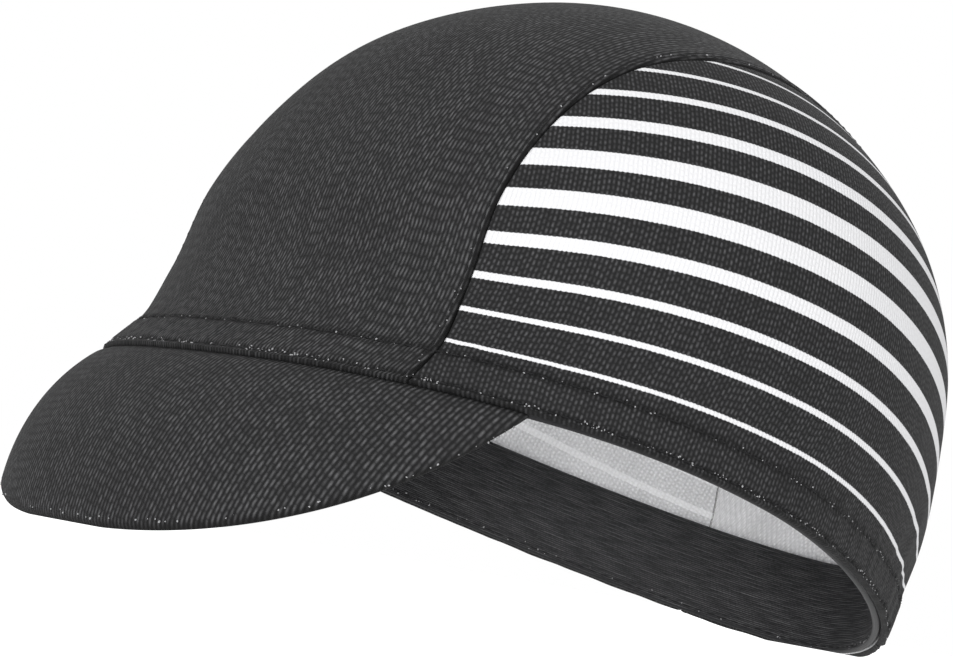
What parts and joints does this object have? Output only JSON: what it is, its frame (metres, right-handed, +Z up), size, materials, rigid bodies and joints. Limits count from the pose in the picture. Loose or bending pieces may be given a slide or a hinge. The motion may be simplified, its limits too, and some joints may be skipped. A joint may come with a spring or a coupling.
{
  "type": "cycling cap",
  "caption": "Soft cycling cap with a wide centre panel, striped side panels, a short turned-down peak and an elastic band inside the rim.",
  "frame": {"origin": "middle of the cap's box, on the surface that it stands on", "axes": "the peak points along -Y, the wearer's left is +X, and +Z is up"},
  "size_m": [0.1688, 0.216, 0.1279],
  "materials": {
    "centre_panel_cloth": "matt black diagonal-rib knit",
    "side_panel_cloth": "matt black knit with printed white stripes and a pale reverse",
    "peak_cloth": "matt black diagonal-rib knit over a bendable board",
    "sweatband_elastic": "black ribbed elastic, slightly glossy"
  },
  "bodies": {
    "root": {"centre_panel": "centre_panel_cloth", "side_panel_left": "side_panel_cloth", "side_panel_right": "side_panel_cloth", "peak": "peak_cloth", "sweatband": "sweatband_elastic"}
  },
  "joints": []
}
